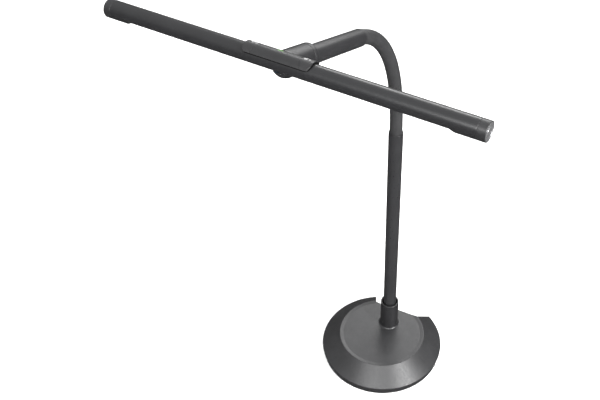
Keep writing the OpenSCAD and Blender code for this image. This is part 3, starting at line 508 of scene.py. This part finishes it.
def hub_shell(columns=288):
    """Domed cylinder on the arm's axis, cut where it meets the bar, and closed along the bar's back.

    A column runs from the seam at HUB_L forward over the dome of radius HUB_R round DOME_BACK,
    until it meets the bar, the gap round the panel, or the plane through the bar's axis. There
    it turns round the bar's axis to the panel's lower edge, in to the bar, and along its back.
    """
    a = np.arange(columns) / columns * TAU
    side, up = np.sin(a)[:, None], np.cos(a)[:, None]
    edge = rounded([(0, 0, 0), (HUB_R, 0, 0.35), (HUB_R, 30, 0)])[1:-1]
    t = np.linspace(0, np.pi / 2, 900)
    z_all = np.concatenate([HUB_L - edge[1:, 1], np.linspace(HUB_L - edge[-1, 1], DOME_BACK, 400),
                            DOME_BACK - HUB_R * np.sin(t)])
    r_all = np.concatenate([edge[1:, 0], np.full(400, HUB_R), HUB_R * np.cos(t)])
    lead_in = len(edge) - 1
    y = r_all * up - HUB_RISE
    far, turn = np.hypot(y, z_all), np.arctan2(z_all, y)
    limit = np.where(turn < PANEL_WRAP + WRAP_AIR, PANEL_R + AIR, BAR_R + 0.05)
    stop = np.argmax((far < limit) | (z_all < 0), axis=1)[:, None]
    index = lead_in + np.linspace(0, 1, 48) * (stop - lead_in)
    z = np.interp(index, np.arange(len(z_all)), z_all)
    r = np.interp(index, np.arange(len(z_all)), r_all)
    z = np.concatenate([np.broadcast_to(z_all[:lead_in], (columns, lead_in)), z], 1)
    r = np.concatenate([np.broadcast_to(r_all[:lead_in], (columns, lead_in)), r], 1)
    skin = np.stack([r * side, r * up, np.maximum(z, 0)], -1)
    x, y_end, z_end = skin[:, -1:, 0], skin[:, -1:, 1] - HUB_RISE, skin[:, -1:, 2]
    turn, far = np.arctan2(z_end, y_end), np.hypot(y_end, z_end)
    corner = np.maximum(turn, PANEL_WRAP + WRAP_AIR)

    def round_bar(x, turns, radius):
        x, turns, radius = np.broadcast_arrays(x, turns, radius)
        return np.stack([x, HUB_RISE + radius * np.cos(turns), radius * np.sin(turns)], -1)

    under_panel = round_bar(x, turn + (corner - turn) * np.linspace(0, 1, 9)[1:], far)
    inwards = round_bar(x, corner, far + (BAR_R + 0.05 - far) * np.linspace(0, 1, 4)[1:])
    s = np.linspace(1, 0, 12)[1:]
    back = round_bar(x * s, np.pi / 2 + (corner - np.pi / 2) * s, BAR_R + 0.05)
    closed = np.stack([8 * side, 8 * up, HUB_L + 0 * side], -1)
    points = np.concatenate([closed * [0, 0, 1], closed, skin, under_panel, inwards, back], 1)
    return points, quads(*points.shape[:2], loop_rows=True)


lay("hub_housing", *hub_shell(), ARM, "light_bar", HUB_PLASTIC, "hub_black", ["hub_body"])

# ---- light bar ----

TUBE_L, WINDOW_L, WINDOW_RAMP, FLAT_DROP = 429.0, 378.0, 6.0, 6.0


def tube_shell():
    """Tube cut flat below by y = -f(x), its bore, and its two end rings.

    A half section runs from the flat's inner edge out to the tube's skin at acos(f / R) and on
    to the top; f falls from R to FLAT_DROP down a ramp at each end of the window. The two
    halves meet below wherever the flat doesn't reach the bore, so the window stays open.
    """
    half = TUBE_L / 2
    ends = half - np.array([0, 0.06, 0.18, 0.35, 1.2])
    ramp = np.linspace(WINDOW_L / 2 + WINDOW_RAMP, WINDOW_L / 2, 17)
    before_ramp, along = [WINDOW_L / 2 + WINDOW_RAMP + 0.5], np.linspace(WINDOW_L / 2 - 1, 0, 12)
    right = np.concatenate([ends, before_ramp, ramp, along])
    x = np.concatenate([-right, right[-2::-1]])
    r = BAR_R - 0.35 + np.sqrt(np.clip(0.35**2 - np.clip(0.35 - (half - np.abs(x)), 0, 0.35) ** 2, 0, None))
    ramped = FLAT_DROP + (np.abs(x) - WINDOW_L / 2) * (BAR_R - FLAT_DROP) / WINDOW_RAMP
    f = np.clip(ramped, FLAT_DROP, BAR_R)
    bore = BAR_R - BAR_WALL
    outer_turn = np.arccos(np.clip(f / r, -1, 1))
    inner_turn = np.arccos(np.clip(f / bore, -1, 1))
    arc = np.linspace(0, 1, 49)
    flat = np.linspace(0, 1, 4)[:-1]

    def section(radius, turn, start_side):
        turns = turn[:, None] + (np.pi - turn[:, None]) * arc[None]
        arc_y, arc_z = -radius[:, None] * np.cos(turns), radius[:, None] * np.sin(turns)
        flat_z = start_side[:, None] + (arc_z[:, :1] - start_side[:, None]) * flat[None]
        return (np.concatenate([arc_y[:, :1] + 0 * flat_z, arc_y], 1),
                np.concatenate([flat_z, arc_z], 1))

    rim_edge = np.sqrt(np.clip(bore**2 - f**2, 0, None))
    out_y, out_z = section(r, outer_turn, rim_edge)
    in_y, in_z = section(np.full_like(x, bore), inner_turn, bore * np.sin(inner_turn))
    rows, cols = out_y.shape
    sheets = []
    for sign in (1, -1):
        for y, z in ((out_y, out_z), (in_y, in_z)):
            sheets.append(np.stack([np.broadcast_to(x[:, None], y.shape), y, sign * z], -1))
    points = np.stack(sheets)
    faces = [quads(rows, cols, first=i * rows * cols) for i in range(4)]
    for side in (0, 2):
        for row in (0, rows - 1):
            a = side * rows * cols + row * cols + np.arange(cols - 1)
            b = a + rows * cols
            faces.append(np.stack([a, a + 1, b + 1, b], -1))
    return points, np.concatenate(faces)


lay("light_bar_tube", *tube_shell(), BAR, "light_bar", TUBE_COAT, "tube_black", ["bar_tube"], crease=30)


def cap_outline(disc_r=9.35, face_round=0.8):
    """End cap: plug inside the tube, seam edge, wall, rounded face edge and the disc's seat."""
    return rounded([
        (0, -4, 0), (7.5, -4, 0.2), (7.5, -6, 0.1), (8.9, -6, 0.2), (8.9, 0, 0), (BAR_R, 0, 0.4),
        (BAR_R, 9, face_round), (disc_r, 9, 0.12), (disc_r, 8.1, 0), (0, 8.1, 0),
    ], arc=9)


def disc_outline(disc_r=9.3, face=9.0):
    """Disc in the cap: bright outer land, a wide sunken ring, and a low crowned middle."""
    return rounded([
        (0, face - 0.9, 0), (disc_r, face - 0.9, 0.1), (disc_r, face, 0.15), (disc_r * 0.82, face, 0.1),
        (disc_r * 0.8, face - 0.25, 0.1), (disc_r * 0.52, face - 0.25, 0.1),
        (disc_r * 0.5, face - 0.05, 0.15), (0, face - 0.02, 0),
    ], arc=4)


for side, end in ((1, "right"), (-1, "left")):
    seat = (BAR[0] + side * TUBE_L / 2 * SIDE, np.cross(ARM_UP, side * SIDE), ARM_UP, side * SIDE)
    lay(f"bar_cap_{end}", *lathe(cap_outline(), 128), seat, "light_bar", CAP_PLASTIC, "cap_black",
        [f"end_cap_{end}"])
    lay(f"turned_disc_{end}", *lathe(disc_outline(), 128), seat, "light_bar", TURNED_METAL, "disc_grey",
        [f"end_disc_{end}"])

# ---- diffuser ----

WINDOW_AIR, DIFFUSER_TOP, DIFFUSER_FACE, DIFFUSER_W = 0.3, -3.8, -5.8, 13.16
CROWN, CROWN_HALF, END_GROOVE = 0.12, 5.6, 0.5


def diffuser_bar():
    """Opal bar: a section with rounded lower corners, carried along the window.

    Its face is lowest along its middle, and CROWN * s^2 higher at share s of CROWN_HALF to
    each side. The section shrinks by END_GROOVE * (1 - cos t) to a groove END_GROOVE in from
    each end, and is full again at the end itself.
    """
    corners = [(DIFFUSER_W / 2, DIFFUSER_TOP, 0.2), (DIFFUSER_W / 2, DIFFUSER_FACE, 0.7),
               (-DIFFUSER_W / 2, DIFFUSER_FACE, 0.7), (-DIFFUSER_W / 2, DIFFUSER_TOP, 0.2)]
    outline = rounded(corners, arc=5)
    crown = np.linspace(-1, 1, 17)[1:-1]
    face = np.column_stack([-crown * CROWN_HALF, DIFFUSER_FACE + CROWN - CROWN * (1 - crown**2)])
    cut = len(outline) // 2
    section = np.vstack([outline[:cut], face, outline[cut:]])
    end = WINDOW_L / 2 - WINDOW_AIR
    t = np.linspace(0, np.pi / 2, 7)
    right = end - END_GROOVE * (1 - np.sin(t))
    groove = END_GROOVE * (1 - np.cos(t))
    along = np.linspace(-end + 4, end - 4, 60)
    x = np.concatenate([-right[::-1], along, right])
    inset = np.concatenate([groove, 0 * along, groove[::-1]])
    middle = np.array([0, (DIFFUSER_TOP + DIFFUSER_FACE) / 2])
    share_z = 1 - inset / (DIFFUSER_W / 2)
    share_y = 1 - inset
    z = section[:, 0] * share_z[:, None]
    y = middle[1] + (section[:, 1] - middle[1]) * share_y[:, None]
    loops = np.stack([x[:, None] + 0 * z, y, z], -1)
    # both ends close on one point
    closed = loops[[0, -1]] * [1, 0, 0] + [0, middle[1], 0]
    points = np.concatenate([closed[:1], loops, closed[1:]])
    return points, quads(*points.shape[:2], loop_cols=True)


lay("opal_diffuser", *diffuser_bar(), BAR, "light_bar", OPAL, "diffuser_opal", ["diffuser"])

# ---- control panel ----

PANEL_T, KEY_T, CORNER_R, SEAM_FRONT, SEAM_BACK = 1.6, 1.0, 5.0, 29.5, 14.5
PANEL_HALF = PANEL_R * np.sin(PANEL_WRAP)
SEAM_MIDDLE, SEAM_SLOPE = (SEAM_FRONT + SEAM_BACK) / 2, (SEAM_FRONT - SEAM_BACK) / (2 * PANEL_HALF)
KEY_GAP = AIR * np.sqrt(1 + SEAM_SLOPE**2)
STEM_X, STEM_R, STEM_FOOT = 31.0, 1.6, 9.7


def seam_at(forward):
    """Half length of the middle plate, this far forward of the bar's axis: a straight slanted seam."""
    return SEAM_MIDDLE + SEAM_SLOPE * forward


def panel_end(forward):
    """Half length of the whole panel there: PANEL_L / 2, less a circle of CORNER_R at its corners."""
    past = np.clip(np.abs(forward) - (PANEL_HALF - CORNER_R), 0, CORNER_R)
    return PANEL_L / 2 - CORNER_R + np.sqrt(CORNER_R**2 - past**2)


def panel_turns():
    """Turn angles across the panel, close together where its corners are round."""
    p = np.linspace(0, np.pi / 2, 12)
    corner = PANEL_HALF - CORNER_R + CORNER_R * np.sin(p)
    forward = np.concatenate([-corner[::-1], np.linspace(-corner[0], corner[0], 34)[1:-1], corner])
    return np.arcsin(np.clip(forward / PANEL_R, -1, 1))


def panel_skin(radius, low, high, cols):
    """Grid on the cylinder of that radius: x from low(forward) to high(forward), turn by turn."""
    turn = panel_turns()[:, None]
    forward = radius * np.sin(turn)
    s = np.linspace(0, 1, cols)
    x = low(forward) + (high(forward) - low(forward)) * s
    return np.stack([x, radius * np.cos(turn) + 0 * x, -forward + 0 * x], -1)


def soften(piece, width=0.22):
    """Breaks the piece's sharp edges by a small rounding."""
    bevel = piece.modifiers.new("broken_edges", "BEVEL")
    bevel.width = width * MM
    bevel.segments = 3
    bevel.limit_method = "ANGLE"
    bevel.angle_limit = np.radians(50)
    return piece


def add_panel():
    """Middle plate between the slanted seams, and a key past each seam with its stem."""
    plate = [panel_skin(r, lambda f: -seam_at(f), seam_at, 45) for r in (PANEL_R, PANEL_R - PANEL_T)]
    soften(lay("middle_plate", *shell(*plate), BAR, "light_bar", PANEL_PLASTIC, "panel_black",
               ["centre_plate"], crease=30))
    for sign, end in ((1, "right"), (-1, "left")):
        grids = [panel_skin(r, lambda f: seam_at(f) + KEY_GAP, panel_end, 21)
                 for r in (PANEL_R, PANEL_R - KEY_T)]
        points, faces = shell(*[g * [sign, 1, 1] for g in grids])
        soften(lay(f"key_cap_{end}", points, faces, BAR, f"key_{end}", KEY_PLASTIC, "key_black",
                   [f"key_{end}"], crease=30))
        stem = rounded([(0, STEM_FOOT, 0), (STEM_R, STEM_FOOT, 0.3), (STEM_R, PANEL_R - KEY_T, 0.05),
                        (0, PANEL_R - KEY_T, 0)])
        upright = (BAR[0] + sign * STEM_X * SIDE, np.cross(ARM_UP, SIDE) * -1, SIDE, ARM_UP)
        lay(f"key_stem_{end}", *lathe(stem, 24), upright, f"key_{end}", KEY_PLASTIC, "key_black")


add_panel()

# radius at which the panel's outline is unrolled for its strip of painted shadow
SHADOW_STRIP_R = 12.0


def painted_shadow_strip(reach=0.9, tuck=1.5, steps=61):
    """Black strip under the panel's edge: painted shadow standing in for the shadow gap there.

    Its path is the panel's outline unrolled to (x, turn * SHADOW_STRIP_R). Each station is a flat
    section from tuck inside the outline to reach outside it, rolled back round the bar.
    """
    turns = panel_turns()
    x = panel_end(PANEL_R * np.sin(turns))
    along = np.linspace(-1, 1, steps)[1:-1]
    path = np.concatenate([
        np.column_stack([x, turns]), np.column_stack([-along * x[-1], turns[-1] + 0 * along]),
        np.column_stack([-x[::-1], turns[::-1]]), np.column_stack([along * x[0], turns[0] + 0 * along]),
    ]) * [1, SHADOW_STRIP_R]
    way = np.roll(path, -1, 0) - np.roll(path, 1, 0)
    way /= np.linalg.norm(way, axis=1, keepdims=True)
    out = np.stack([way[:, 1], -way[:, 0]], -1)
    section = ((reach, BAR_R + 0.02), (reach, BAR_R + 0.45), (-tuck, BAR_R + 0.75), (-tuck, BAR_R + 0.02))
    loops = []
    for offset, radius in section:
        at = path + out * offset
        turn = at[:, 1] / SHADOW_STRIP_R
        loops.append(np.stack([at[:, 0], radius * np.cos(turn), -radius * np.sin(turn)], -1))
    points = np.stack(loops, 1)
    return points, quads(*points.shape[:2], loop_rows=True, loop_cols=True)


# a black strip put where there is only shade: painted shadow of the panel's gap
lay("panel_painted_shadow", *painted_shadow_strip(), BAR, "light_bar", SHADOW_GAP_PAINT, "frame_black")

# ---- signs on the keys, and flat dots of painted shade for dimples ----

# how far a printed stroke stands proud of the key, and how far it reaches into it
MARK_T, MARK_BITE = 0.05, 0.05


def stroke(line, width, steps=40):
    """Printed line on the panel's skin: a ribbon of that width along points (x, forward) in millimetres.

    The ribbon's two edges stand width / 2 to each side of the line, square to its way, and each
    point is wrapped round the bar at the turn forward / PANEL_R.
    """
    line = np.asarray(line, float)
    far = np.concatenate([[0], np.cumsum(np.linalg.norm(np.diff(line, axis=0), axis=1))])
    at = np.linspace(0, far[-1], steps)
    line = np.stack([np.interp(at, far, line[:, i]) for i in (0, 1)], -1)
    way = np.gradient(line, axis=0)
    way /= np.linalg.norm(way, axis=1, keepdims=True)
    out = np.stack([-way[:, 1], way[:, 0]], -1) * width / 2
    flat = line[:, None] + out[:, None] * np.linspace(-1, 1, 3)[:, None]

    def wrap(radius):
        turn = flat[..., 1] / PANEL_R
        return np.stack([flat[..., 0], radius * np.cos(turn), -radius * np.sin(turn)], -1)

    return shell(wrap(PANEL_R + MARK_T), wrap(PANEL_R - MARK_BITE))


def arc_line(middle, radius, start, end):
    """Points of an arc in plan, from angle start to end in degrees."""
    a = np.radians(np.linspace(start, end, 33))
    return np.array(middle) + radius * np.stack([np.cos(a), np.sin(a)], -1)


def print_mark(name, key, strokes, ink=MARK_INK):
    """One printed sign on a key, made of several strokes."""
    points, faces, first = [], [], 0
    for line, width in strokes:
        p, f = stroke(line, width)
        points.append(p)
        faces.append(f + first)
        first += len(p)
    lay(name, np.concatenate(points), np.concatenate(faces), BAR, key, ink, "key_black")


def sun(middle, size):
    """Ring with eight short rays round it."""
    rays = [[np.add(middle, k * size * np.array([np.cos(a), np.sin(a)])) for k in (0.68, 1.0)]
            for a in np.arange(8) / 8 * TAU]
    return [(arc_line(middle, size * 0.4, 0, 360), size * 0.16)] + [(ray, size * 0.16) for ray in rays]


def power(middle, size):
    """Open ring with an upright bar in its gap."""
    return [(arc_line(middle, size * 0.8, 125, 415), size * 0.2),
            ([np.add(middle, [0, size * 0.1]), np.add(middle, [0, size])], size * 0.2)]


def dot(middle, radius):
    """Round spot: a ring whose stroke reaches its own middle."""
    return [(arc_line(middle, radius * 0.52, 0, 360), radius * 0.96)]


def plus(middle, size, width):
    """Two strokes across each other."""
    x, y = middle
    return [([(x - size, y), (x + size, y)], width), ([(x, y - size), (x, y + size)], width)]


print_mark("mark_bright", "key_right", sun((29.6, 0.4), 2.2))
print_mark("mark_more", "key_right", plus((34.1, 0.4), 1.2, 0.45))
# flat black dots: painted shade where a dimple's hollow would be
print_mark("painted_dimple_shade_right", "key_right", dot((25.2, 0.8), 1.1), DIMPLE_SHADE_PAINT)
print_mark("mark_dim", "key_left", sun((-29.0, 0.4), 1.6))
print_mark("mark_power", "key_left", power((-32.8, 0.4), 1.6))
print_mark("painted_dimple_shade_left", "key_left", dot((-36.4, 0.4), 1.1), DIMPLE_SHADE_PAINT)

# ---- finishes of the pieces that keep the model's own shape ----

for made_of, names in NODE_COATS.items():
    for name in names:
        for held in frame["nodes"][name].material_slots:
            held.material = made_of

# ---- floor and light ----


def add_stage():
    """Round pale floor, wide enough to fill the picture from every side."""
    a = np.arange(96) / 96 * TAU
    ring = np.stack([np.cos(a), np.sin(a), 0 * a], -1)
    points = np.concatenate([ring * r for r in (300, 1200, 9000)] + [np.zeros((1, 3))])
    faces = quads(3, 96, loop_cols=True)
    mesh = bpy.data.meshes.new("floor")
    middle = [[288, (i + 1) % 96, i] for i in range(96)]
    mesh.from_pydata((points * MM).tolist(), [], faces.tolist() + middle)
    floor = bpy.data.objects.new("floor", mesh)
    paint = bpy.data.materials.new("floor_white")
    paint.use_nodes = True
    shader = paint.node_tree.nodes["Principled BSDF"]
    shader.inputs["Base Color"].default_value = (0.92, 0.92, 0.92, 1)
    shader.inputs["Roughness"].default_value = 0.9
    shader.inputs["Specular IOR Level"].default_value = 0.1
    mesh.materials.append(paint)
    bpy.context.scene.collection.objects.link(floor)
    floor.visible_glossy = False


def add_light(name, at, towards, size, power):
    """Soft rectangular light of size (width, height), turned to face a point."""
    data = bpy.data.lights.new(name, "AREA")
    data.shape = "RECTANGLE"
    data.size, data.size_y = size
    data.energy = power
    light = bpy.data.objects.new(name, data)
    back = np.subtract(at, towards)
    back = back / np.linalg.norm(back)
    across = np.cross([0, 0, 1], back)
    across = across / np.linalg.norm(across)
    turn = np.array([across, np.cross(back, across), back]).T
    light.matrix_world = Matrix.Translation(at) @ Matrix(turn.tolist()).to_4x4()
    bpy.context.scene.collection.objects.link(light)


def add_room():
    """White all round for the floor, and for reflections a dim room that is paler overhead."""
    room = bpy.data.worlds.new("studio")
    room.use_nodes = True
    nodes, links = room.node_tree.nodes, room.node_tree.links
    white = nodes["Background"]
    white.inputs["Color"].default_value = (1, 1, 1, 1)
    white.inputs["Strength"].default_value = 1.12
    where = nodes.new("ShaderNodeTexCoord")
    height = nodes.new("ShaderNodeSeparateXYZ")
    links.new(where.outputs["Generated"], height.inputs["Vector"])
    ramp = nodes.new("ShaderNodeValToRGB")
    low, high = ramp.color_ramp.elements
    low.position, low.color = 0.1, (0.1, 0.1, 0.1, 1)
    high.position, high.color = 0.9, (0.9, 0.9, 0.9, 1)
    links.new(height.outputs["Z"], ramp.inputs["Fac"])
    dim = nodes.new("ShaderNodeBackground")
    links.new(ramp.outputs["Color"], dim.inputs["Color"])
    kind = nodes.new("ShaderNodeLightPath")
    both = nodes.new("ShaderNodeMixShader")
    links.new(kind.outputs["Is Glossy Ray"], both.inputs["Fac"])
    links.new(white.outputs["Background"], both.inputs[1])
    links.new(dim.outputs["Background"], both.inputs[2])
    links.new(both.outputs["Shader"], nodes["World Output"].inputs["Surface"])
    bpy.context.scene.world = room


add_stage()
add_room()
MIDDLE = (0, 0, 0.4)
add_light("key_softbox", (1.8, -0.5, 1.3), MIDDLE, (0.7, 1.3), 90)
add_light("front_softbox", (0.5, -2.0, 2.0), (0, -0.2, 0.6), (1.8, 0.6), 60)
add_light("back_softbox", (-0.3, 2.0, 1.9), MIDDLE, (2.2, 0.6), 45)
bpy.context.scene.view_settings.view_transform = "Standard"
